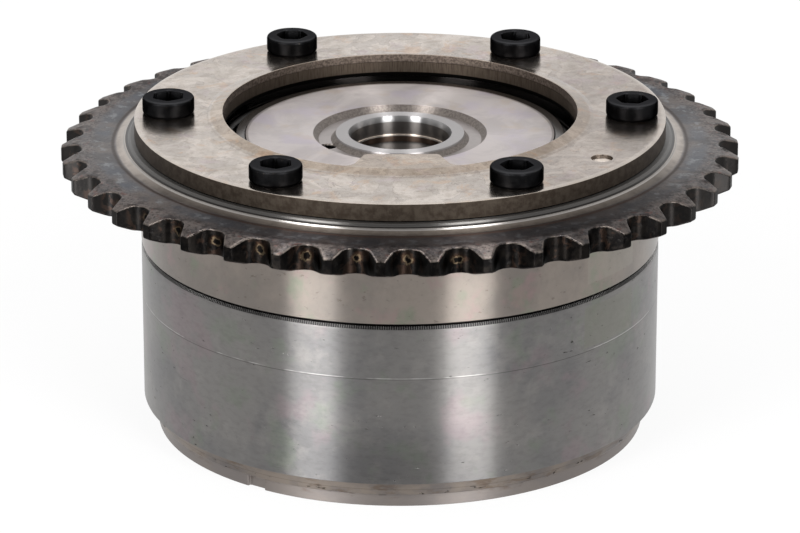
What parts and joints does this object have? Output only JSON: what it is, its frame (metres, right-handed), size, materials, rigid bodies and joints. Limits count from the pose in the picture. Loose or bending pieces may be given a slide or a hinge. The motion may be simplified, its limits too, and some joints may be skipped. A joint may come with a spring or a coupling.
{
  "type": "cam phaser",
  "caption": "Vane-type camshaft phaser with a single-row chain wheel, stepped drum, bolted retaining plate and an inner rotor with a central bolt bore.",
  "frame": {"origin": "centre of the end cover's outer face, on the camshaft axis", "axes": "+Z along the camshaft axis from the end cover to the screw heads, -Y towards the retaining plate's inward tab"},
  "size_m": [0.1106, 0.1106, 0.0552],
  "materials": {
    "cover_steel": "satin, turned",
    "drum_steel": "satin, ground",
    "wheel_steel": "satin, with heat tint on the teeth",
    "plate_steel": "matt, phosphated",
    "black_oxide_steel": "satin, black oxide",
    "rotor_steel": "satin, ground",
    "hardened_steel": "ground",
    "spring_steel": "satin, oiled",
    "seal_plastic": "matt"
  },
  "bodies": {
    "housing": {"end_cover": "cover_steel", "housing": "drum_steel", "chain_wheel": "wheel_steel", "retaining_plate": "plate_steel", "plate_screws": "black_oxide_steel", "bias_spring": "spring_steel", "web_seal_1": "seal_plastic", "web_seal_2": "seal_plastic", "web_seal_3": "seal_plastic", "web_seal_4": "seal_plastic", "web_seal_spring_1": "spring_steel", "web_seal_spring_2": "spring_steel", "web_seal_spring_3": "spring_steel", "web_seal_spring_4": "spring_steel"},
    "rotor": {"rotor": "rotor_steel", "lock_pin_spring": "spring_steel", "vane_seal_1": "seal_plastic", "vane_seal_2": "seal_plastic", "vane_seal_3": "seal_plastic", "vane_seal_4": "seal_plastic", "vane_seal_spring_1": "spring_steel", "vane_seal_spring_2": "spring_steel", "vane_seal_spring_3": "spring_steel", "vane_seal_spring_4": "spring_steel"},
    "lock_pin": {"lock_pin": "hardened_steel"}
  },
  "joints": [
    {"name": "rotor_phase", "type": "hinge", "parent": "housing", "child": "rotor", "pos_m": [0, 0, 0.0225], "axis": [0, 0, 1], "range_deg": [0, 25], "stiffness_Nm_per_rad": 0.5, "springref_deg": -28.65, "deforming": ["bias_spring"]},
    {"name": "lock_pin_slide", "type": "slide", "parent": "rotor", "child": "lock_pin", "axis": [0, 0, 1], "range_m": [-0.0032, 0], "stiffness_N_per_m": 200, "springref_m": -0.01, "deforming": ["lock_pin_spring"]}
  ]
}
